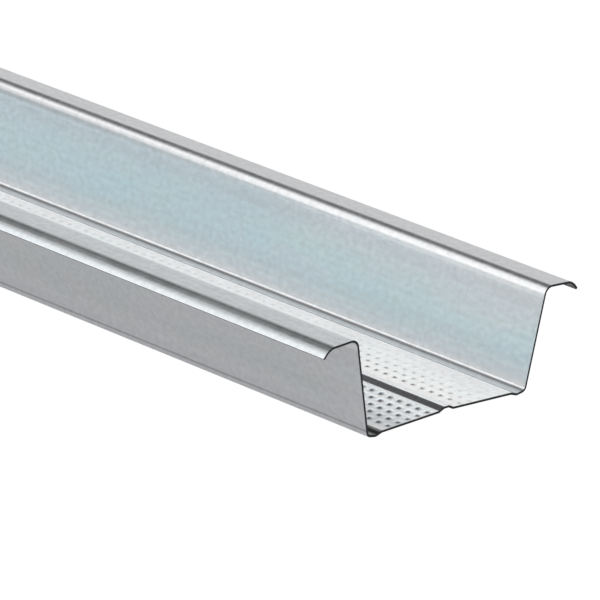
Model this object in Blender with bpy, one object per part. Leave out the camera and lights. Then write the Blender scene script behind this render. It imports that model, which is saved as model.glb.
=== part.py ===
"""Light-gauge hat channel: one length of roll-formed galvanised strip, lying crown down.

The strip's section is drawn in the YZ plane and runs along X. The origin is under the middle
of the length, on the floor that the two foot beads stand on. Sizes are in metres.
"""

import math

import bmesh
import bpy
from mathutils import Matrix, Vector

# The strip
LENGTH = 3.600
GAUGE = 0.00055

# The section, over its outer faces
DEPTH = 0.0245  # from the floor to the top of the flanges
CROWN_WIDTH = 0.050  # between the webs' outer faces, at the floor
WEB_LEAN = math.radians(11.8)  # from upright, outwards
FLANGE_WIDTH = 0.0102  # from the web's line to the lip's outermost edge
FLANGE_FALL = math.radians(3.3)  # from level, away from the web
LIP_LENGTH = 0.0032  # half of it at each of the two slopes below
LIP_START = math.radians(30)  # from level, where the lip leaves the flange
LIP_FALL = math.radians(50)  # from level, at the lip's edge

# The foot beads, which the channel stands on, along both edges of the crown
FOOT_WIDTH = 0.0027  # from the web's outer face at the floor to the bead's lowest corner
FOOT_SIDE = 0.0019  # from that corner in to the crown's edge
FOOT_DEPTH = 0.0006  # from the crown's edge down to that corner
FOOT_RISE = math.radians(10)  # from level, the bead's climb from that corner to the web

# The crown and the stiffening rib along its middle, raised into the channel
CROWN_RISE = math.radians(2.1)  # each half climbs from its foot bead to the rib
RIB_BASE = 0.0045
RIB_TOP = 0.0014
RIB_HEIGHT = 0.0007
RIB_OFFSET = -0.00035  # from the middle of the crown, as rolled

# Radii on the inside of each bend
RIB_TOP_BEND = 0.0002
RIB_BASE_BEND = 0.0003
CROWN_EDGE_BEND = 0.0006
FOOT_BEND = 0.0012
WEB_FOOT_BEND = 0.0010
WEB_TOP_BEND = 0.00185
LIP_BEND = 0.0020
LIP_CURL = 0.0033

ARC_STEP = math.radians(9)  # most that one facet of a bend turns

# Zinc coating, as the shader's socket names and their values
ZINC = {"Base Color": (0.62, 0.65, 0.66, 1.0), "Metallic": 0.9, "Roughness": 0.38}


def clear_scene():
    for old in list(bpy.data.objects):
        bpy.data.objects.remove(old, do_unlink=True)


def cut_off(inside, turn, slope):
    """Height between a bend's corner and the level point of its arc.

    The corner is where the middle lines of the two runs cross, turn is the angle between
    them, and slope is how far one of them is from level.
    """
    radius = inside + GAUGE / 2
    to_arc = radius * math.tan(turn / 2) * math.sin(slope)
    along_arc = radius * (1 - math.cos(slope))
    return to_arc - along_arc


def half_section(rib_shift):
    """Corners of the strip's middle line from the rib out to one lip edge, as (y, z, bend).

    rib_shift moves the rib towards that lip.
    """
    lean, climb = math.tan(WEB_LEAN), math.tan(FOOT_RISE)
    web_at_floor = CROWN_WIDTH / 2 - GAUGE / 2 / math.cos(WEB_LEAN)
    side = math.atan2(FOOT_DEPTH, FOOT_SIDE)
    foot_y = CROWN_WIDTH / 2 - FOOT_WIDTH
    foot_z = GAUGE / 2 - cut_off(FOOT_BEND, side + FOOT_RISE, side)
    web_foot_z = (foot_z + (web_at_floor - foot_y) * climb) / (1 - lean * climb)
    web_foot_y = web_at_floor + web_foot_z * lean
    crown_y = foot_y - FOOT_SIDE
    crown_z = foot_z + FOOT_DEPTH
    rib_base_y = RIB_BASE / 2 + rib_shift
    rib_base_z = crown_z + (crown_y - rib_base_y) * math.tan(CROWN_RISE)
    web_turn = math.pi / 2 - WEB_LEAN + FLANGE_FALL
    flange_z = DEPTH - GAUGE / 2 + cut_off(WEB_TOP_BEND, web_turn, FLANGE_FALL)
    flange_y = web_at_floor + flange_z * lean
    tip_y = flange_y + FLANGE_WIDTH - GAUGE / 2 * math.sin(LIP_FALL)
    curl_y = tip_y - LIP_LENGTH / 2 * math.cos(LIP_FALL)
    lip_y = curl_y - LIP_LENGTH / 2 * math.cos(LIP_START)
    lip_z = flange_z - (lip_y - flange_y) * math.tan(FLANGE_FALL)
    curl_z = lip_z - LIP_LENGTH / 2 * math.sin(LIP_START)
    tip_z = curl_z - LIP_LENGTH / 2 * math.sin(LIP_FALL)
    return [
        (RIB_TOP / 2 + rib_shift, rib_base_z + RIB_HEIGHT, RIB_TOP_BEND),
        (rib_base_y, rib_base_z, RIB_BASE_BEND),
        (crown_y, crown_z, CROWN_EDGE_BEND),
        (foot_y, foot_z, FOOT_BEND),
        (web_foot_y, web_foot_z, WEB_FOOT_BEND),
        (flange_y, flange_z, WEB_TOP_BEND),
        (lip_y, lip_z, LIP_BEND),
        (curl_y, curl_z, LIP_CURL),
        (tip_y, tip_z, 0.0),
    ]


def whole_section():
    """The corners of both halves, from the lip edge at -Y to the lip edge at +Y."""
    left = [(-y, z, bend) for y, z, bend in reversed(half_section(-RIB_OFFSET))]
    return left + half_section(RIB_OFFSET)


def side_of(heading):
    """Unit normal on the left of a heading, which is the inside of the channel."""
    return Vector((-heading.y, heading.x))


def bend_stations(before, corner, after, inside):
    """Stations round one bend: an arc that touches the runs on both sides of the corner.

    The arc takes up to half of the shorter run, so that two bends never cross.
    """
    inward = (corner - before).normalized()
    outward = (after - corner).normalized()
    turn = -inward.angle_signed(outward)
    half = math.tan(abs(turn) / 2)
    shorter = min((corner - before).length, (after - corner).length)
    reach = min((inside + GAUGE / 2) * half, shorter / 2)
    radius = reach / half
    towards = side_of(inward) * math.copysign(1, turn)
    start = corner - inward * reach
    centre = start + towards * radius
    facets = max(2, math.ceil(abs(turn) / ARC_STEP))
    stations = []
    for step in range(facets + 1):
        angle = turn * step / facets
        heading = Matrix.Rotation(angle, 2) @ inward
        point = centre - side_of(heading) * math.copysign(radius, turn)
        stations.append((point, heading))
    return stations


def mid_line():
    """The strip's middle line as (point, heading) stations from one edge to the other."""
    corners = [(Vector((y, z)), bend) for y, z, bend in whole_section()]
    points = [point for point, _ in corners]
    first = (points[1] - points[0]).normalized()
    last = (points[-1] - points[-2]).normalized()
    stations = [(points[0], first)]
    for index in range(1, len(corners) - 1):
        inside = corners[index][1]
        stations += bend_stations(points[index - 1], points[index], points[index + 1], inside)
    stations.append((points[-1], last))
    return stations


def strip_mesh(name):
    """The section as a row of quads across the strip's gauge, extruded along X."""
    shape = bmesh.new()
    start = -LENGTH / 2
    pairs = []
    for point, heading in mid_line():
        offset = side_of(heading) * GAUGE / 2
        inner, outer = point + offset, point - offset
        pairs.append((shape.verts.new((start, *inner)), shape.verts.new((start, *outer))))
    section = [shape.faces.new((*a, *reversed(b))) for a, b in zip(pairs, pairs[1:])]
    grown = bmesh.ops.extrude_face_region(shape, geom=section, use_keep_orig=True)
    far = [item for item in grown["geom"] if isinstance(item, bmesh.types.BMVert)]
    bmesh.ops.translate(shape, verts=far, vec=(LENGTH, 0, 0))
    bmesh.ops.recalc_face_normals(shape, faces=shape.faces)
    mesh = bpy.data.meshes.new(name)
    shape.to_mesh(mesh)
    shape.free()
    return mesh


def zinc():
    """Bright zinc coating of the strip."""
    material = bpy.data.materials.new("galvanised_steel")
    material.use_nodes = True
    shader = material.node_tree.nodes["Principled BSDF"]
    for socket, value in ZINC.items():
        shader.inputs[socket].default_value = value
    return material


def channel():
    """The whole channel, one piece of strip."""
    mesh = strip_mesh("channel")
    mesh.materials.append(zinc())
    mesh.shade_smooth()
    mesh.set_sharp_from_angle(angle=math.radians(30))
    piece = bpy.data.objects.new("channel", mesh)
    bpy.context.scene.collection.objects.link(piece)
    return piece


clear_scene()
channel()
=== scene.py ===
"""Looks of the light-gauge hat channel: one length of roll-formed galvanised strip.

The strip is rebuilt from its middle line with finer bends and with the knurling that is
raised on both halves of the crown. It is made as closed lengths that lie end to end, each
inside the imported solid's box. Sizes are in metres, in the solid's own frame.
"""

import math

import bpy
import numpy as np
from mathutils import Matrix, Vector


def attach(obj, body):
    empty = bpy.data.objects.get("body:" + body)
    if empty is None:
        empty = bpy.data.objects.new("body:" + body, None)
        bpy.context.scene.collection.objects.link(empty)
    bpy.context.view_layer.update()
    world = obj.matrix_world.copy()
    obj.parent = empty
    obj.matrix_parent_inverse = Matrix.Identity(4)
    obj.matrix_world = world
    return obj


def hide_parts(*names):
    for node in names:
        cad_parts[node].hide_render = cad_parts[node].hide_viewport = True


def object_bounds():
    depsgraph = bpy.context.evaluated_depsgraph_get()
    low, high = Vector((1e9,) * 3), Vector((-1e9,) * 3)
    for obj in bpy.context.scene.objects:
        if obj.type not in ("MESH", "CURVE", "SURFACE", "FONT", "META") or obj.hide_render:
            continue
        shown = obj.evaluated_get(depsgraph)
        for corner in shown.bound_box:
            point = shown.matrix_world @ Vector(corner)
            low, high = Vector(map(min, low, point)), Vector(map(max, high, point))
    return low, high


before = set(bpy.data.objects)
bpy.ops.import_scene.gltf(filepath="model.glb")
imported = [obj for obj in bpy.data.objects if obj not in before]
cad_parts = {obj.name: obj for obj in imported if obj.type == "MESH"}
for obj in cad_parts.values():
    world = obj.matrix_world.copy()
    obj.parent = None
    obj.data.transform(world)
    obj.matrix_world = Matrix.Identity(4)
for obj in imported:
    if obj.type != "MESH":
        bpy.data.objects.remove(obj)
CAD_LOW, CAD_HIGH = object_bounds()

# The strip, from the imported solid's box
FAR_END, NEAR_END = CAD_LOW.x, CAD_HIGH.x
DEPTH = CAD_HIGH.z - CAD_LOW.z
HALF_WIDTH = (CAD_HIGH.y - CAD_LOW.y) / 2
GAUGE = 0.00055

# The section, over its outer faces, as the solid has it
CROWN_WIDTH = 0.050
WEB_LEAN = math.radians(11.8)
FLANGE_FALL = math.radians(3.3)
LIP_LENGTH = 0.0032
LIP_START = math.radians(30)  # the lip's slope at its bend, and at its edge
LIP_FALL = math.radians(50)
FOOT_WIDTH = 0.0027
FOOT_SIDE = 0.0019
FOOT_DEPTH = 0.0006
FOOT_RISE = math.radians(10)
CROWN_RISE = math.radians(2.1)
RIB_BASE = 0.0045
RIB_TOP = 0.0014
RIB_HEIGHT = 0.0007
RIB_OFFSET = -0.00035

# Radii on the inside of each bend
RIB_TOP_BEND = 0.0002
RIB_BASE_BEND = 0.0003
CROWN_EDGE_BEND = 0.0006
FOOT_BEND = 0.0012
WEB_FOOT_BEND = 0.0010
WEB_TOP_BEND = 0.00185
LIP_BEND = 0.0020
LIP_CURL = 0.0033

ARC_STEP = math.radians(7.5)  # most that one facet of a bend turns
FLAT_GUARD = 0.00012  # a station this far outside each bend keeps the flats evenly shaded

# Knurling: a square grid of domes raised inside the channel, each one a pit in the outer face
DOME_RADIUS = 0.00102
DOME_HEIGHT = 0.00022
PIT_RADIUS = 0.00075
PIT_DEPTH = 0.00024
DOME_PITCH = 0.00292  # along the channel
ROW_PITCH = 0.00306  # across it
FIRST_ROW = 0.00505  # from the channel's middle plane to the row beside the rib
ROWS = 5  # on each half of the crown
FIRST_DOME = 0.0012  # from the near cut to the first dome of each row

# How high the domes are, as shares of their height
LEFT_ROWS = 1.25
RIGHT_ROWS = 1.0, 1.2, 1.1, 0.8, 0.55  # from the rib out to the web
FADED = 0.55  # what all but the first right row shrink to beside the near cut
FADING_DOMES = 30  # over this many domes
LAST_DOME = 0.65  # and what the domes beside the cut shrink to once more, in every row
UNEVENNESS = 0.06  # how far one dome differs from the next
UNEVEN_SEED = 7

# Lengths that the channel is built in
NEAR_DOMES = 74  # domes of a row in the near length, which the camera sees
FAR_LENGTHS = 5
DOMES_BETWEEN_STATIONS = 20  # how often the plain parts of the sheet have a ring of vertices
NEAR_DETAIL = {"side_edges": 4, "dome_rings": (0.36, 0.70, 1.0), "pit_rings": (0.55, 1.0)}
FAR_DETAIL = {"side_edges": 2, "dome_rings": (0.46, 1.0), "pit_rings": (1.0,)}

INNER_FACE, OUTER_FACE, CUT_EDGE = 0, 1, 2  # places in each length's list of materials
SHARP_FROM = math.radians(60)  # only the cut edges turn by more


def unit(vector):
    """The vector over its length."""
    return vector / np.linalg.norm(vector)


def left_of(headings):
    """The unit normals on the left of unit headings: a quarter turn anticlockwise."""
    return np.stack([-headings[..., 1], headings[..., 0]], axis=-1)


def cut_off(inside, turn, slope):
    """Height from a bend's corner to the level point of its arc.

    It is radius * tan(turn / 2) * sin(slope) - radius * (1 - cos(slope)).
    """
    radius = inside + GAUGE / 2
    return radius * (math.tan(turn / 2) * math.sin(slope) - 1 + math.cos(slope))


def half_section(rib_shift):
    """Corners of the strip's middle line from the rib out to one lip edge: y, z, inside radius.

    Straight runs at the section's slopes are crossed with each other, the lowest point of the
    foot bead's arc lies on the floor, and the highest of the web's top bend at the depth.
    """
    lean, climb = math.tan(WEB_LEAN), math.tan(FOOT_RISE)
    web_at_floor = CROWN_WIDTH / 2 - GAUGE / 2 / math.cos(WEB_LEAN)
    side = math.atan2(FOOT_DEPTH, FOOT_SIDE)
    foot_y = CROWN_WIDTH / 2 - FOOT_WIDTH
    foot_z = GAUGE / 2 - cut_off(FOOT_BEND, side + FOOT_RISE, side)
    web_foot_z = (foot_z + (web_at_floor - foot_y) * climb) / (1 - lean * climb)
    web_foot_y = web_at_floor + web_foot_z * lean
    crown_y = foot_y - FOOT_SIDE
    crown_z = foot_z + FOOT_DEPTH
    rib_base_y = RIB_BASE / 2 + rib_shift
    rib_base_z = crown_z + (crown_y - rib_base_y) * math.tan(CROWN_RISE)
    web_turn = math.pi / 2 - WEB_LEAN + FLANGE_FALL
    flange_z = DEPTH - GAUGE / 2 + cut_off(WEB_TOP_BEND, web_turn, FLANGE_FALL)
    flange_y = web_at_floor + flange_z * lean
    tip_y = HALF_WIDTH - GAUGE / 2 * math.sin(LIP_FALL)
    curl_y = tip_y - LIP_LENGTH / 2 * math.cos(LIP_FALL)
    lip_y = curl_y - LIP_LENGTH / 2 * math.cos(LIP_START)
    lip_z = flange_z - (lip_y - flange_y) * math.tan(FLANGE_FALL)
    curl_z = lip_z - LIP_LENGTH / 2 * math.sin(LIP_START)
    tip_z = curl_z - LIP_LENGTH / 2 * math.sin(LIP_FALL)
    return np.array([
        (RIB_TOP / 2 + rib_shift, rib_base_z + RIB_HEIGHT, RIB_TOP_BEND),
        (rib_base_y, rib_base_z, RIB_BASE_BEND),
        (crown_y, crown_z, CROWN_EDGE_BEND),
        (foot_y, foot_z, FOOT_BEND),
        (web_foot_y, web_foot_z, WEB_FOOT_BEND),
        (flange_y, flange_z, WEB_TOP_BEND),
        (lip_y, lip_z, LIP_BEND),
        (curl_y, curl_z, LIP_CURL),
        (tip_y, tip_z, 0.0),
    ])


def round_bend(before, corner, after, inside):
    """Points and headings round one bend.

    The arc touches both runs at radius * tan(turn / 2) from the corner, and its points are
    the centre plus the radius, turned in equal steps. One guard point stands on each run.
    """
    inward, outward = unit(corner - before), unit(after - corner)
    turn = math.atan2(inward[0] * outward[1] - inward[1] * outward[0], inward @ outward)
    radius = math.copysign(inside + GAUGE / 2, turn)
    reach = radius * math.tan(turn / 2)
    angles = np.linspace(0, turn, max(2, math.ceil(abs(turn) / ARC_STEP)) + 1)
    headings = np.outer(np.cos(angles), inward) + np.outer(np.sin(angles), left_of(inward))
    centre = corner - inward * reach + left_of(inward) * radius
    arc = centre - left_of(headings) * radius
    guards = corner - inward * (reach + FLAT_GUARD), corner + outward * (reach + FLAT_GUARD)
    return np.vstack([guards[0], arc, guards[1]]), np.vstack([inward, headings, outward])


def middle_line():
    """The strip's middle line as points, normals into the channel, distances along it from
    its middle, and the stations where the two flat halves of the crown begin."""
    corners = np.vstack([half_section(-RIB_OFFSET)[::-1] * (-1, 1, 1), half_section(RIB_OFFSET)])
    places, insides = corners[:, :2], corners[:, 2]
    points, headings = [places[:1]], [unit(places[1] - places[0])[None]]
    bend_ends = [0]
    for index in range(1, len(places) - 1):
        bend = round_bend(places[index - 1], places[index], places[index + 1], insides[index])
        points.append(bend[0])
        headings.append(bend[1])
        bend_ends.append(bend_ends[-1] + len(bend[0]))
    points.append(places[-1:])
    headings.append(unit(places[-1] - places[-2])[None])
    points, headings = np.vstack(points), np.vstack(headings)
    steps = np.linalg.norm(np.diff(points, axis=0), axis=1)
    across = np.concatenate([[0], np.cumsum(steps)])
    left_crown_edge, right_rib_base = 6, 10
    crowns = bend_ends[left_crown_edge], bend_ends[right_rib_base]
    return points, left_of(headings), across - across[-1] / 2, crowns


class Shell:
    """The vertices and faces of one closed length, gathered as arrays.

    Each vertex keeps two measures: how far across the strip it is from the strip's middle, and
    how far a dome or a pit takes it from the flat skin.
    """

    def __init__(self):
        self.points, self.faces, self.finishes, self.count = [], [], [], 0
        self.measures = {"across": [], "raised": []}

    def lay(self, x, middles, normals, lift, across):
        """Place vertices at x, at the middle line plus normal times lift. Gives their numbers."""
        shape = np.broadcast_shapes(np.shape(x), np.shape(lift), middles.shape[:-1])
        points = np.empty(shape + (3,))
        points[..., 0] = x
        points[..., 1:] = middles + normals * np.broadcast_to(lift, shape)[..., None]
        self.points.append(points.reshape(-1, 3))
        self.measures["across"].append(np.broadcast_to(across, shape).ravel())
        raised = np.abs(np.broadcast_to(lift, shape)) - GAUGE / 2
        self.measures["raised"].append(raised.ravel())
        numbers = self.count + np.arange(points.size // 3).reshape(shape)
        self.count += numbers.size
        return numbers

    def skin(self, corners, finish, flip=False):
        """Add faces. corners has one array of vertex numbers for each corner, in order."""
        faces = np.stack(np.broadcast_arrays(*corners), axis=-1).reshape(-1, len(corners))
        self.faces.append(faces[:, ::-1] if flip else faces)
        self.finishes.append(np.full(len(faces), finish))

    def sheet(self, grid, finish, flip=False):
        """Add the quads of a grid of vertex numbers, whose rows run along the channel."""
        corners = grid[:-1, :-1], grid[:-1, 1:], grid[1:, 1:], grid[1:, :-1]
        self.skin(corners, finish, flip)

    def fan(self, coarse, fine, starts, finish, flip):
        """Join a coarse line of vertices to a fine one beside it, with triangles.

        starts gives the fine vertex opposite each coarse one. The fine edges of the first
        half of a step meet its first coarse vertex, and the rest meet its second.
        """
        edge = np.arange(len(fine) - 1)
        step = np.searchsorted(starts, edge, side="right") - 1
        turning = (starts[:-1] + starts[1:] + 1) // 2
        apex = coarse[step + (edge >= turning[step])]
        self.skin((apex, fine[edge + 1], fine[edge]), finish, flip)
        self.skin((coarse[:-1], coarse[1:], fine[turning]), finish, flip)

    def mesh(self, name):
        """Write the arrays into a mesh, shaded smooth but for its cut edges."""
        mesh = bpy.data.meshes.new(name)
        points = np.concatenate(self.points)
        sizes = np.concatenate([np.full(len(faces), faces.shape[1]) for faces in self.faces])
        corners = np.concatenate([faces.ravel() for faces in self.faces])
        mesh.vertices.add(len(points))
        mesh.vertices.foreach_set("co", points.astype(np.float32).ravel())
        mesh.loops.add(len(corners))
        mesh.loops.foreach_set("vertex_index", corners.astype(np.int32))
        mesh.polygons.add(len(sizes))
        starts = np.concatenate([[0], np.cumsum(sizes)[:-1]])
        mesh.polygons.foreach_set("loop_start", starts.astype(np.int32))
        finishes = np.concatenate(self.finishes).astype(np.int32)
        mesh.polygons.foreach_set("material_index", finishes)
        mesh.update(calc_edges=True)
        for measure, values in self.measures.items():
            layer = mesh.attributes.new(measure, "FLOAT", "POINT")
            layer.data.foreach_set("value", np.concatenate(values).astype(np.float32))
        mesh.shade_smooth()
        mesh.set_sharp_from_angle(angle=SHARP_FROM)
        return mesh


def dome(share):
    """Height of a dome at a share of its radius, as cos(share * 90 degrees) squared."""
    return np.cos(np.minimum(share, 1.0) * math.pi / 2) ** 2


def knurl(shell, run, ends, domes, rows, heights, detail, side):
    """One skin of a knurled half of the crown, as a grid of square cells with a dome in each.

    A cell is rings of vertices round its middle: each ring's height is the dome's at that
    radius, and the last ring is the cell's square rim, which the next cell shares. run gives
    two points of the flat with their normal and distances across. Gives the numbers of the
    rim vertices as a grid, rows across the channel and columns along it.
    """
    (start, end), normal, (across_start, across_end) = run
    per_side = detail["side_edges"]
    radius, height, shares = {
        1: (DOME_RADIUS, DOME_HEIGHT, detail["dome_rings"]),
        -1: (PIT_RADIUS, PIT_DEPTH, detail["pit_rings"]),
    }[side]
    finish = INNER_FACE if side > 0 else OUTER_FACE

    def place(x, y, lift):
        """Vertices at x and y, raised from the flat skin by lift."""
        share = (y - start[0]) / (end[0] - start[0])
        middles = start + share[..., None] * (end - start)
        across = across_start + share * (across_end - across_start)
        return shell.lay(x, middles, normal, lift + side * GAUGE / 2, across)

    def nodes(edges):
        """Rim positions: each stretch between cell edges in equal parts."""
        parts = np.arange(per_side) / per_side
        inner = edges[:-1, None] + np.diff(edges)[:, None] * parts
        return np.append(inner.ravel(), edges[-1])

    row_edges = np.append(rows - ROW_PITCH / 2, rows[-1] + ROW_PITCH / 2)
    y, x = np.meshgrid(nodes(row_edges), nodes(ends), indexing="ij")
    j, i = np.indices(y.shape)
    on_rim = (i % per_side == 0) | (j % per_side == 0)
    rim_grid = np.full(y.shape, -1)
    rim_grid[on_rim] = place(x[on_rim], y[on_rim], 0.0)

    steps = np.arange(per_side)
    none, full = np.zeros(per_side, int), np.full(per_side, per_side)
    loop_i = np.concatenate([steps, full, per_side - steps, none])
    loop_j = np.concatenate([none, steps, full, per_side - steps])
    first_j = np.arange(len(rows))[:, None, None] * per_side
    first_i = np.arange(len(domes))[None, :, None] * per_side
    rim = rim_grid[first_j + loop_j, first_i + loop_i]

    first_corner = -math.pi * 3 / 4
    spokes = np.arange(4 * per_side) * (math.pi / 2 / per_side) + first_corner
    middle_y, middle_x = np.meshgrid(rows, domes, indexing="ij")
    top = place(middle_x, middle_y, height * heights)[..., None]
    rings = []
    for share in shares:
        ring_x = middle_x[..., None] + share * radius * np.cos(spokes)
        ring_y = middle_y[..., None] + share * radius * np.sin(spokes)
        rings.append(place(ring_x, ring_y, height * dome(share) * heights[..., None]))
    rings.append(rim)

    turned = [np.roll(ring, -1, axis=2) for ring in rings]
    shell.skin((top, rings[0], turned[0]), finish, flip=side < 0)
    for inner, outer, inner_next, outer_next in zip(rings, rings[1:], turned, turned[1:]):
        shell.skin((inner, outer, outer_next, inner_next), finish, flip=side < 0)
    return rim_grid


def sheet_length(line, ends, domes, heights, detail):
    """One closed length of the strip.

    Both skins are the middle line plus and minus half the gauge, carried along X. The flat
    halves of the crown are knurled, and fans of triangles join them to the plain sheet. The
    skins meet along the slit edges and at both ends.
    """
    points, normals, across, crowns = line
    shell = Shell()
    per_side = detail["side_edges"]
    picked = np.append(np.arange(0, len(domes), DOMES_BETWEEN_STATIONS), len(domes))
    starts = picked * per_side
    row_places = FIRST_ROW + ROW_PITCH * np.arange(ROWS)
    rims = {}
    grids = {}
    for side, finish in ((1, INNER_FACE), (-1, OUTER_FACE)):
        grid = shell.lay(ends[picked][None, :], points[:, None, :], normals[:, None, :],
                         side * GAUGE / 2, across[:, None])
        grids[side] = grid
        left, right = crowns
        for first, last in ((0, left), (left + 1, right), (right + 1, len(points) - 1)):
            shell.sheet(grid[first:last + 1], finish, flip=side < 0)
        rim = [grid[:left + 1][:, [0, -1]]]
        for crown, rows in ((left, -row_places[::-1]), (right, row_places)):
            run = points[crown:crown + 2], normals[crown], across[crown:crown + 2]
            half = 0 if crown == left else 1
            knurled = knurl(shell, run, ends, domes, rows, heights[half], detail, side)
            shell.fan(grid[crown], knurled[0], starts, finish, flip=side < 0)
            shell.fan(grid[crown + 1], knurled[-1], starts, finish, flip=side > 0)
            after = right + 1 if crown == left else len(points)
            rim += [knurled[:, [0, -1]], grid[crown + 1:after][:, [0, -1]]]
        rims[side] = np.concatenate(rim)
    for end, flip in ((0, True), (1, False)):
        top, bottom = rims[1][:, end], rims[-1][:, end]
        shell.skin((bottom[:-1], bottom[1:], top[1:], top[:-1]), CUT_EDGE, flip)
    for station, flip in ((0, False), (-1, True)):
        top, bottom = grids[1][station], grids[-1][station]
        shell.skin((bottom[:-1], bottom[1:], top[1:], top[:-1]), CUT_EDGE, flip)
    return shell


def dome_places():
    """Places along X of a row's domes and of the cell edges between them, from the far end.

    Domes repeat at the pitch from the near cut, for as long as a whole one fits.
    """
    fits = int((NEAR_END - FAR_END - FIRST_DOME - DOME_RADIUS) / DOME_PITCH) + 1
    domes = NEAR_END - FIRST_DOME - DOME_PITCH * np.arange(fits)[::-1]
    between = (domes[:-1] + domes[1:]) / 2
    return domes, np.concatenate([[FAR_END], between, [NEAR_END]])


def channel_lengths(materials):
    """The whole channel, as one finely made near length and several plainer ones behind it.

    The heights of the domes are drawn from a bell curve, cut off at two of its spreads.
    """
    line = middle_line()
    domes, edges = dome_places()
    uneven = np.random.default_rng(UNEVEN_SEED).normal(0, UNEVENNESS, (2, ROWS, len(domes)))
    heights = 1 + np.clip(uneven, -2 * UNEVENNESS, 2 * UNEVENNESS)
    heights[0] *= LEFT_ROWS
    heights[1] *= np.array(RIGHT_ROWS)[:, None]
    heights[1, 1:, -FADING_DOMES:] *= np.linspace(1.0, FADED, FADING_DOMES)
    heights[:, :, -1] *= LAST_DOME
    far_cuts = np.linspace(0, len(domes) - NEAR_DOMES, FAR_LENGTHS + 1).astype(int)
    cuts = np.append(far_cuts, len(domes))
    for number, (first, last) in enumerate(zip(cuts[:-1], cuts[1:])):
        detail = NEAR_DETAIL if number == FAR_LENGTHS else FAR_DETAIL
        shell = sheet_length(line, edges[first:last + 1], domes[first:last],
                             heights[:, :, first:last], detail)
        name = f"channel_length_{FAR_LENGTHS + 1 - number}"
        piece = bpy.data.objects.new(name, shell.mesh(name))
        bpy.context.scene.collection.objects.link(piece)
        for material in materials:
            piece.data.materials.append(material)
        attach(piece, "root")
        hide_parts("channel")


class Wiring:
    """Adds nodes to one shader tree. An input takes a number, a colour or another output.

    Inputs go by name, or by number on nodes that have several of one name.
    """

    def __init__(self, tree):
        self.tree = tree

    def add(self, kind, inputs, **settings):
        """A new node with its settings and inputs."""
        node = self.tree.nodes.new(kind)
        for name, value in settings.items():
            setattr(node, name, value)
        for name, value in inputs.items():
            if isinstance(value, bpy.types.NodeSocket):
                self.tree.links.new(value, node.inputs[name])
            else:
                node.inputs[name].default_value = value
        return node

    def place(self):
        """X, Y and Z in the channel's own frame."""
        whole = self.add("ShaderNodeTexCoord", {}).outputs["Object"]
        return self.add("ShaderNodeSeparateXYZ", {0: whole}).outputs

    def measure(self, name):
        """A measure that the mesh keeps at each vertex."""
        return self.add("ShaderNodeAttribute", {}, attribute_name=name).outputs["Fac"]

    def maths(self, operation, first, second=0.0):
        """The outcome of one operation on numbers."""
        inputs = {0: first, 1: second}
        return self.add("ShaderNodeMath", inputs, operation=operation).outputs[0]

    def vector_maths(self, operation, first, second):
        """The outcome of one operation on vectors: a number if it is their dot product."""
        node = self.add("ShaderNodeVectorMath", {0: first, 1: second}, operation=operation)
        return node.outputs["Value" if operation == "DOT_PRODUCT" else "Vector"]

    def ramp(self, value, low, high, start, end, kind="SMOOTHSTEP"):
        """start where value is low, end where it is high, and a smooth step between."""
        inputs = {"Value": value, "From Min": low, "From Max": high, "To Min": start, "To Max": end}
        return self.add("ShaderNodeMapRange", inputs, interpolation_type=kind).outputs[0]

    def step(self, value, ends):
        """0 up to the first of two ends, 1 from the second, and a smooth step between."""
        return self.ramp(value, *ends, 0.0, 1.0)

    def band(self, value, low, high, soft):
        """1 from low to high, and 0 outside, with edges that are soft for that much each way."""
        rise = self.ramp(value, low - soft, low + soft, 0.0, 1.0)
        fall = self.ramp(value, high - soft, high + soft, 1.0, 0.0)
        return self.maths("MULTIPLY", rise, fall)

    def noise(self, vector, scale, detail=2.0, distortion=0.0):
        """Soft noise, with scale features to a metre of the vector."""
        inputs = {"Vector": vector, "Scale": scale, "Detail": detail, "Distortion": distortion}
        return self.add("ShaderNodeTexNoise", inputs).outputs["Fac"]

    def mixed(self, share, first, second):
        """first where share is 0 and second where it is 1, as a number."""
        inputs = {"Factor": share, 2: first, 3: second}
        return self.add("ShaderNodeMix", inputs, data_type="FLOAT").outputs[0]

    def blend(self, share, first, second):
        """first where share is 0 and second where it is 1, as a colour."""
        inputs = {"Factor": share, 6: first, 7: second}
        return self.add("ShaderNodeMix", inputs, data_type="RGBA").outputs[2]

    def scaled(self, colour, value):
        """A colour times a value."""
        node = self.add("ShaderNodeVectorMath", {0: colour, "Scale": value}, operation="SCALE")
        return node.outputs["Vector"]


def shader_group(name, inputs, outputs):
    """An empty node group, whose inputs are numbers with the given defaults. Gives its wiring,
    and the sockets that its nodes read from and write to."""
    tree = bpy.data.node_groups.new(name, "ShaderNodeTree")
    for socket, default in inputs.items():
        made = tree.interface.new_socket(socket, in_out="INPUT", socket_type="NodeSocketFloat")
        made.default_value = default
    for socket in outputs:
        tree.interface.new_socket(socket, in_out="OUTPUT", socket_type="NodeSocketFloat")
    wiring = Wiring(tree)
    given = wiring.add("NodeGroupInput", {}).outputs
    result = wiring.add("NodeGroupOutput", {}).inputs
    return wiring, given, result


def new_material(name):
    """A material, its wiring and its Principled shader."""
    material = bpy.data.materials.new(name)
    material.use_nodes = True
    tree = material.node_tree
    return material, Wiring(tree), tree.nodes["Principled BSDF"]


# Noise in the zinc: how many features there are to a metre across the unrolled strip, and
# along it
LINES, LINES_ALONG = 900.0, 1.2
BROAD_LINES = 0.22  # as a share of the fine ones
BROAD_LINES_ALONG = 0.35
SPECKS = 700.0
SPECKS_ALONG = 0.9  # as a share of those across
PATCHES = 80.0
PATCHES_ALONG = 0.55  # as a share of those across
SMALLER_PATCHES = 1.6  # those of the second layer, as a share of the first
PATCH_SWIRL = 0.3
PATCH_SHIFT = 3.1, 5.7, 1.3  # from one layer to the other, in metres
PATCH_EDGES = (0.40, 0.60), (0.42, 0.62)  # noise at which each layer's patches start and fill
SPREAD = 0.3, 0.7  # most of a noise's values lie between these


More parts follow.
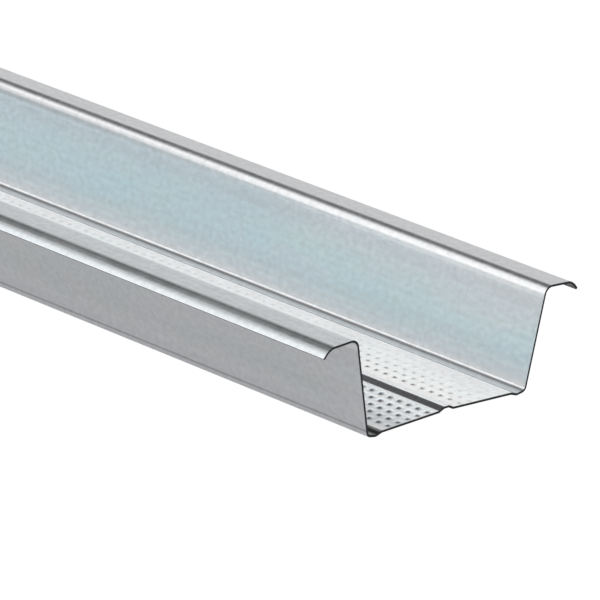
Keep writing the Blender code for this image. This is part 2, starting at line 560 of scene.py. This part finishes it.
def strip_place(wiring, along, across):
    """The place on the unrolled strip as a vector: X times along, and the distance across
    the strip from its middle times across."""
    inputs = {
        "X": wiring.maths("MULTIPLY", wiring.place()["X"], along),
        "Y": wiring.maths("MULTIPLY", wiring.measure("across"), across),
    }
    return wiring.add("ShaderNodeCombineXYZ", inputs).outputs[0]


def rolling_lines():
    """Lines that the rolls leave along the strip: fine and broad noise, half of each."""
    wiring, given, result = shader_group("rolling_lines", {"Lines per Metre": LINES}, ["Lines"])
    fewer = wiring.maths("MULTIPLY", given["Lines per Metre"], BROAD_LINES)
    fine = strip_place(wiring, LINES_ALONG, given["Lines per Metre"])
    fine = wiring.noise(fine, 1.0, detail=3.0)
    broad = wiring.noise(strip_place(wiring, BROAD_LINES_ALONG, fewer), 1.0, detail=1.0)
    both = wiring.maths("MULTIPLY", wiring.maths("ADD", fine, broad), 0.5)
    wiring.tree.links.new(both, result["Lines"])
    return wiring.tree


def zinc_grain():
    """Fine grain of the coating: soft specks about a millimetre wide."""
    wiring, given, result = shader_group("zinc_grain", {"Specks per Metre": SPECKS}, ["Grain"])
    grain = wiring.noise(strip_place(wiring, SPECKS_ALONG, 1.0), given["Specks per Metre"])
    wiring.tree.links.new(wiring.ramp(grain, *SPREAD, 0.0, 1.0, "LINEAR"), result["Grain"])
    return wiring.tree


def clouds():
    """Two layers of soft patches, a centimetre or two long, drawn out along the strip."""
    inputs = {"Patches per Metre": PATCHES}
    wiring, given, result = shader_group("clouds", inputs, ["First", "Second"])
    place = strip_place(wiring, PATCHES_ALONG, 1.0)
    shifted = wiring.vector_maths("ADD", place, PATCH_SHIFT)
    scale = given["Patches per Metre"]
    smaller = wiring.maths("MULTIPLY", scale, SMALLER_PATCHES)
    first = wiring.noise(place, scale, distortion=PATCH_SWIRL)
    second = wiring.noise(shifted, smaller, distortion=PATCH_SWIRL)
    wiring.tree.links.new(wiring.step(first, PATCH_EDGES[0]), result["First"])
    wiring.tree.links.new(wiring.step(second, PATCH_EDGES[1]), result["Second"])
    return wiring.tree


# Where a zinc face's colour changes, as the two ends of a smooth step
RIGHT_HALF = -RIB_TOP, RIB_TOP  # Y
# painted shade: the domes take their darker colour from this far up their slope
DOME_SHADE_SLOPE = 0.0, DOME_HEIGHT / 2  # how far the skin is raised
BEAD_STARTS = 0.0198, 0.0204  # distance from the channel's middle plane
WEB_STARTS = 0.0246, 0.0252
FLANGE_STARTS = DEPTH - 0.0036, DEPTH - 0.0010  # height
# painted light: the webs are painted paler near the cut
PALER_STARTS = NEAR_END - 0.100, NEAR_END - 0.063  # X, where the webs are paler near the cut
PALER_HEIGHT = 0.005, 0.013  # and the heights where that starts
CLOUDED = 0.0065, 0.0160, 0.0045  # heights on a web that the clouds lie between, and softness
GREEN_SHARE = 0.6  # how much of the green is seen in the middle of its patches

# How a zinc face's brightness changes, as shares of its colour: the zinc's own lines and grain,
# then painted light and shade by height and on the top bends
LINE_SHADES = 0.94, 1.05
GRAIN_SHADES = -0.06, 0.06
# painted light: the faces are brighter near the floor and darker higher up
PAINTED_LIGHT_HEIGHTS = 0.004, 0.021
PAINTED_LIGHT_SHARES = 1.04, 0.965  # at those two heights
# painted highlight on the webs' top bends, growing towards the cut and turning to painted shade far
# from it
TOP_BEND = DEPTH - 0.0028, DEPTH - 0.0012, 0.0003  # heights of a web's top bend, and softness
TOP_BEND_ENDS = 0.0305, 0.0315  # distance from the middle plane
HIGHLIGHT_PLACES = NEAR_END - 0.160, NEAR_END - 0.050  # X
HIGHLIGHT_GAINS = -0.15, 0.22  # what the top bend gains at those two places

# How rough it is
ROUGHER = -0.015, 0.02  # outside and inside the second layer's patches
LINE_RELIEF = 0.3  # as a share of the grain's
RELIEF = 0.000012


def face_measures(wiring):
    """What a face's colours and bands are measured by."""
    place = wiring.place()
    return {
        "along": place["X"],
        "right": place["Y"],
        "left": wiring.maths("MULTIPLY", place["Y"], -1.0),
        "side": wiring.maths("ABSOLUTE", place["Y"]),
        "rib": wiring.maths("SUBTRACT", RIB_OFFSET, place["Y"]),
        "height": place["Z"],
    }


def web_tint(wiring, measured, cloud, colours):
    """Colour of the webs: blue, lilac and green patches of the film on the zinc, between two
    plainer edges, and all of it times one factor near the cut, painted light that makes them paler
    there."""
    tint = wiring.blend(cloud["First"], colours["blue"], colours["lilac"])
    green = wiring.maths("MULTIPLY", cloud["Second"], GREEN_SHARE)
    tint = wiring.blend(green, tint, colours["green"])
    tint = wiring.blend(wiring.band(measured["height"], *CLOUDED), colours["edge"], tint)
    near = wiring.maths("MULTIPLY", wiring.step(measured["along"], PALER_STARTS),
                        wiring.step(measured["height"], PALER_HEIGHT))
    factor = wiring.blend(near, (1.0, 1.0, 1.0, 1.0), colours["near"])
    return wiring.vector_maths("MULTIPLY", tint, factor)


def face_colour(wiring, measured, cloud, colours):
    """Colour of a face, from the crown and its domes out over beads, webs and flanges."""
    colours = {part: (*colour, 1.0) for part, colour in colours.items()}
    # painted light and shade: the two halves of the crown, their domes and the flanges are one zinc
    # in different shades
    on_right = wiring.step(measured["right"], RIGHT_HALF)
    crown = wiring.blend(on_right, colours["left crown"], colours["right crown"])
    # painted shade: the domes take darker colours than the crown round them
    domes = wiring.blend(on_right, colours["left dome shade"], colours["right dome shade"])
    flange = wiring.blend(on_right, colours["left flange"], colours["right flange"])
    tint = web_tint(wiring, measured, cloud, colours)
    colour = wiring.blend(wiring.step(wiring.measure("raised"), DOME_SHADE_SLOPE), crown, domes)
    colour = wiring.blend(wiring.step(measured["side"], BEAD_STARTS), colour, colours["bead"])
    colour = wiring.blend(wiring.step(measured["side"], WEB_STARTS), colour, tint)
    return wiring.blend(wiring.step(measured["height"], FLANGE_STARTS), colour, flange)


def face_shade(wiring, measured, lines, grain, bands):
    """Share of its colour that a face shows: lines plus grain, times a painted fall in light from
    the floor up, times the top bend's painted highlight, which grows towards the cut, times each
    band of painted shade and highlight."""
    shade = wiring.maths("ADD", wiring.ramp(lines, *SPREAD, *LINE_SHADES, "LINEAR"),
                         wiring.ramp(grain, 0.0, 1.0, *GRAIN_SHADES, "LINEAR"))
    # painted light: brighter low down, darker higher up
    painted_light = wiring.ramp(measured["height"], *PAINTED_LIGHT_HEIGHTS, *PAINTED_LIGHT_SHARES)
    on_bend = wiring.maths("MULTIPLY", wiring.band(measured["height"], *TOP_BEND),
                           wiring.ramp(measured["side"], *TOP_BEND_ENDS, 1.0, 0.0))
    # painted highlight on the top bend, painted shade far from the cut
    painted_highlight = wiring.ramp(measured["along"], *HIGHLIGHT_PLACES, *HIGHLIGHT_GAINS, "LINEAR")
    painted_highlight = wiring.maths("ADD", wiring.maths("MULTIPLY", painted_highlight, on_bend), 1.0)
    shade = wiring.maths("MULTIPLY", wiring.maths("MULTIPLY", shade, painted_light), painted_highlight)
    for what, low, high, soft, share in bands:
        inside = wiring.band(measured[what], low, high, soft)
        part = wiring.ramp(inside, 0.0, 1.0, 1.0, share, "LINEAR")
        shade = wiring.maths("MULTIPLY", shade, part)
    return shade


def zinc_face(name, groups, colours, roughness, bands):
    """Zinc coating on one face of the strip, with grain, rolling lines and cloudy tints."""
    material, wiring, shader = new_material(name)
    finish = {part: wiring.add("ShaderNodeGroup", {}, node_tree=group).outputs
              for part, group in groups.items()}
    cloud, lines, grain = finish["clouds"], finish["lines"]["Lines"], finish["grain"]["Grain"]
    measured = face_measures(wiring)
    colour = face_colour(wiring, measured, cloud, colours)
    shade = face_shade(wiring, measured, lines, grain, bands)
    smooth, rough = (roughness + change for change in ROUGHER)
    relief = wiring.maths("ADD", wiring.maths("MULTIPLY", lines, LINE_RELIEF), grain)
    bump = wiring.add("ShaderNodeBump", {"Height": relief, "Strength": 1.0, "Distance": RELIEF})
    shader.inputs["Metallic"].default_value = 1.0
    join = material.node_tree.links.new
    join(wiring.scaled(colour, shade), shader.inputs["Base Color"])
    join(wiring.ramp(cloud["Second"], 0.0, 1.0, smooth, rough), shader.inputs["Roughness"])
    join(bump.outputs["Normal"], shader.inputs["Normal"])
    return material


# Bare steel of the cuts
EDGE_DARK = 0.018, 0.019, 0.021, 1.0
EDGE_LIGHT = 0.045, 0.048, 0.053, 1.0
EDGE_MARKS = 300.0, 2600.0  # shear marks per metre along the strip and across it
EDGE_CONTRAST = 0.35, 0.65  # noise of the marks where the steel is dark and light


def sheared_edge():
    """Bare steel of the cut ends and slit edges: dark, with lines that the shear drew."""
    material, wiring, shader = new_material("sheared_steel_edge")
    shader.inputs["Metallic"].default_value = 0.85
    shader.inputs["Roughness"].default_value = 0.42
    marks = wiring.noise(strip_place(wiring, *EDGE_MARKS), 1.0)
    colour = wiring.blend(wiring.step(marks, EDGE_CONTRAST), EDGE_DARK, EDGE_LIGHT)
    material.node_tree.links.new(colour, shader.inputs["Base Color"])
    return material


# The studio: a pale floor, and a grey sky with four soft white boxes and two dark flags.
# Angles are in degrees. A patch is full to inside, measured from its middle, and gone at
# outside
PALE = {"up_to": 28, "light": 0.70}  # the sky's light up to this elevation
ZENITH = 0.44  # and straight up
GLOW = {"low": 5, "high": 9, "light": 0.95}  # a paler band round the horizon
HIGH_BOXES = {"azimuths": (206, 26), "elevation": 63, "inside": 9, "outside": 18, "light": 1.1}
BOXES = {"azimuths": (222, 42), "elevation": 28, "inside": 14, "outside": 25, "light": 1.15}
FLAGS = {"azimuths": (157, 337), "elevation": 50, "inside": 16, "outside": 25.5, "light": 0.125}
FLOOR_REACH = 30.0
FLOOR_GAP = 0.0002  # the floor lies this far under the beads
FLOOR_COLOUR = 0.9, 0.9, 0.9, 1.0
FLOOR_WHITE = 1.15
WHITE_SEEN = 0.85  # how much of the floor is plain white where the camera sees it
WHITE_MIRRORED = 0.25  # and where the zinc mirrors it


def sine(degrees):
    """The sine of an angle in degrees."""
    return math.sin(math.radians(degrees))


def cosine(degrees):
    """The cosine of an angle in degrees."""
    return math.cos(math.radians(degrees))


def sky_direction(azimuth, elevation):
    """Unit vector at degrees anticlockwise from +X and degrees above the horizon."""
    level = cosine(elevation)
    return cosine(azimuth) * level, sine(azimuth) * level, sine(elevation)


def studio():
    """The world: a glow at the horizon, then grey that darkens to the zenith, with round
    patches. A patch is a smooth step of the cosine of the angle from its middle. The camera
    sees plain white instead."""
    world = bpy.data.worlds.new("studio")
    world.use_nodes = True
    world.node_tree.nodes.clear()
    wiring = Wiring(world.node_tree)
    direction = wiring.add("ShaderNodeTexCoord", {}).outputs["Generated"]
    height = wiring.add("ShaderNodeSeparateXYZ", {0: direction}).outputs["Z"]
    sky = wiring.ramp(height, sine(PALE["up_to"]), 1.0, PALE["light"], ZENITH, "LINEAR")
    above_glow = wiring.step(height, (sine(GLOW["low"]), sine(GLOW["high"])))
    light = wiring.mixed(above_glow, GLOW["light"], sky)
    for patch in (HIGH_BOXES, BOXES, FLAGS):
        for azimuth in patch["azimuths"]:
            middle = sky_direction(azimuth, patch["elevation"])
            near = wiring.vector_maths("DOT_PRODUCT", direction, middle)
            share = wiring.step(near, (cosine(patch["outside"]), cosine(patch["inside"])))
            light = wiring.mixed(share, light, patch["light"])
    seen = wiring.add("ShaderNodeLightPath", {}).outputs["Is Camera Ray"]
    inputs = {"Color": (1, 1, 1, 1), "Strength": wiring.mixed(seen, light, 1.0)}
    background = wiring.add("ShaderNodeBackground", inputs)
    wiring.add("ShaderNodeOutputWorld", {"Surface": background.outputs[0]})
    bpy.context.scene.world = world


def floor():
    """Pale floor, white to the camera and paler in the zinc, that keeps the shadow."""
    mesh = bpy.data.meshes.new("floor")
    signs = (-1, -1), (1, -1), (1, 1), (-1, 1)
    level = CAD_LOW.z - FLOOR_GAP
    corners = [(x * FLOOR_REACH, y * FLOOR_REACH, level) for x, y in signs]
    mesh.from_pydata(corners, [], [range(4)])
    piece = bpy.data.objects.new("floor", mesh)
    bpy.context.scene.collection.objects.link(piece)
    material = bpy.data.materials.new("pale_floor")
    material.use_nodes = True
    material.node_tree.nodes.clear()
    wiring = Wiring(material.node_tree)
    path = wiring.add("ShaderNodeLightPath", {}).outputs
    seen = wiring.maths("MULTIPLY", path["Is Camera Ray"], WHITE_SEEN)
    mirrored = wiring.maths("MAXIMUM", path["Is Glossy Ray"], path["Is Transmission Ray"])
    mirrored = wiring.maths("MULTIPLY", mirrored, WHITE_MIRRORED)
    share = wiring.maths("MAXIMUM", seen, mirrored)
    diffuse = wiring.add("ShaderNodeBsdfDiffuse", {"Color": FLOOR_COLOUR})
    inputs = {"Color": (1, 1, 1, 1), "Strength": FLOOR_WHITE}
    white = wiring.add("ShaderNodeEmission", inputs)
    inputs = {0: share, 1: diffuse.outputs[0], 2: white.outputs[0]}
    surface = wiring.add("ShaderNodeMixShader", inputs)
    wiring.add("ShaderNodeOutputMaterial", {"Surface": surface.outputs[0]})
    mesh.materials.append(material)


# The camera, as the photograph's long edges and near end give it
LENS, SENSOR = 398.73, 36.0  # in millimetres
CAMERA_AZIMUTH = -45.0537  # from the near end, anticlockwise from +X
CAMERA_ELEVATION = 19.3305
CAMERA_ROLL = 3.1477
CAMERA_PLACE = (0.95553, -1.00553, 0.51183)  # from the middle of the near end


def camera():
    """A long lens looks down on the near end. It is turned by azimuth and elevation, and then
    rolled about its own axis."""
    data = bpy.data.cameras.new("camera")
    data.sensor_width = SENSOR
    data.lens = LENS
    piece = bpy.data.objects.new("camera", data)
    bpy.context.scene.collection.objects.link(piece)
    upright = Matrix.Rotation(math.radians(90 + CAMERA_AZIMUTH), 4, "Z")
    tilted = upright @ Matrix.Rotation(math.radians(90 - CAMERA_ELEVATION), 4, "X")
    turned = tilted @ Matrix.Rotation(math.radians(CAMERA_ROLL), 4, "Z")
    place = Vector(CAMERA_PLACE) + Vector((NEAR_END, 0, 0))
    piece.matrix_world = Matrix.Translation(place) @ turned
    bpy.context.scene.camera = piece


# Colours of the strip's two faces. The two halves of the crown, their domes, the bead and the
# two flanges are one zinc, coloured in different shades as painted light and shade. Edge is the
# plainer part of a web above and below its clouds, blue, lilac and green are the clouds, and near
# is a factor on the web near the cut, painted light that makes it paler there
INNER_COLOURS = {
    "left crown": (0.93, 0.945, 0.965),
    "right crown": (0.842, 0.780, 0.756),
    # painted shade of the domes, darker than the crown round them
    "left dome shade": (0.66, 0.695, 0.72),
    "right dome shade": (0.765, 0.75, 0.745),
    "bead": (0.87, 0.88, 0.89),
    "edge": (0.818, 0.889, 0.929),
    "blue": (0.80, 0.93, 0.967),
    "lilac": (0.84, 0.915, 0.955),
    "green": (0.815, 0.94, 0.935),
    # painted light: the factor that makes the webs paler near the cut
    "near": (1.07, 1.02, 1.0),
    "left flange": (0.845, 0.885, 0.905),
    "right flange": (0.79, 0.80, 0.815),
}
# painted shade: the outer face is the same zinc as the inner one, coloured a darker grey
OUTER_COLOURS = dict.fromkeys(INNER_COLOURS, (0.67, 0.68, 0.70)) | {
    "blue": (0.65, 0.68, 0.70),
    "lilac": (0.675, 0.678, 0.70),
    "green": (0.66, 0.685, 0.685),
    "near": (1.0, 1.0, 1.0),
}

# Darker and brighter bands along the channel, painted shade and painted highlights which stand in
# for what the zinc mirrors in the photograph and for shade in its hollows. Each gives what is
# measured, from, to, softness, and the share of the colour inside
INNER_BANDS = (
    ("rib", 0.00085, 0.0023, 0.0003, 0.48),  # the rib's near flank
    ("side", 0.0201, 0.0209, 0.0003, 1.10),  # edges of the crown
    ("side", 0.0224, 0.0240, 0.0007, 0.74),  # the beads' climb to the webs
    ("height", 0.0030, 0.0052, 0.0018, 0.955),  # the webs, above their feet
    ("height", 0.0013, 0.0019, 0.0004, 1.07),  # the webs' feet, and the crown beside the rib
    ("side", 0.0243, 0.0248, 0.0002, 0.92),  # the bends between beads and webs
    ("side", 0.0236, 0.0241, 0.0002, 0.42),  # a dark line where those bends begin
    ("left", 0.0366, 0.0373, 0.0005, 0.58),  # the left flange beside its lip
    ("left", 0.0376, 0.0382, 0.0003, 1.14),  # the left lip's first slope
    ("left", 0.0387, 0.0394, 0.0004, 0.84),  # and its second
    ("right", 0.0302, 0.0311, 0.0002, 1.2),  # the right top bend, by the flange
    ("right", 0.0295, 0.0300, 0.0001, 1.1),  # and by the web
    ("left", 0.0120, 0.0195, 0.0060, 0.75),  # the left half of the crown
    ("left", 0.0211, 0.0246, 0.0003, 0.13),  # the left bead
)
# painted shade on the outer face too: a line above the webs' feet, and under the lips
OUTER_BANDS = (
    ("height", 0.0018, 0.0022, 0.0002, 0.62),  # a line above the webs' feet
    ("side", 0.0372, 0.0410, 0.0006, 0.1),  # under the lips
)

finish_groups = {"lines": rolling_lines(), "grain": zinc_grain(), "clouds": clouds()}
channel_lengths([
    zinc_face("zinc_inner_face", finish_groups, INNER_COLOURS, 0.25, INNER_BANDS),
    zinc_face("zinc_outer_face", finish_groups, OUTER_COLOURS, 0.30, OUTER_BANDS),
    sheared_edge(),
])
floor()
studio()
camera()
bpy.context.scene.view_settings.view_transform = "Standard"
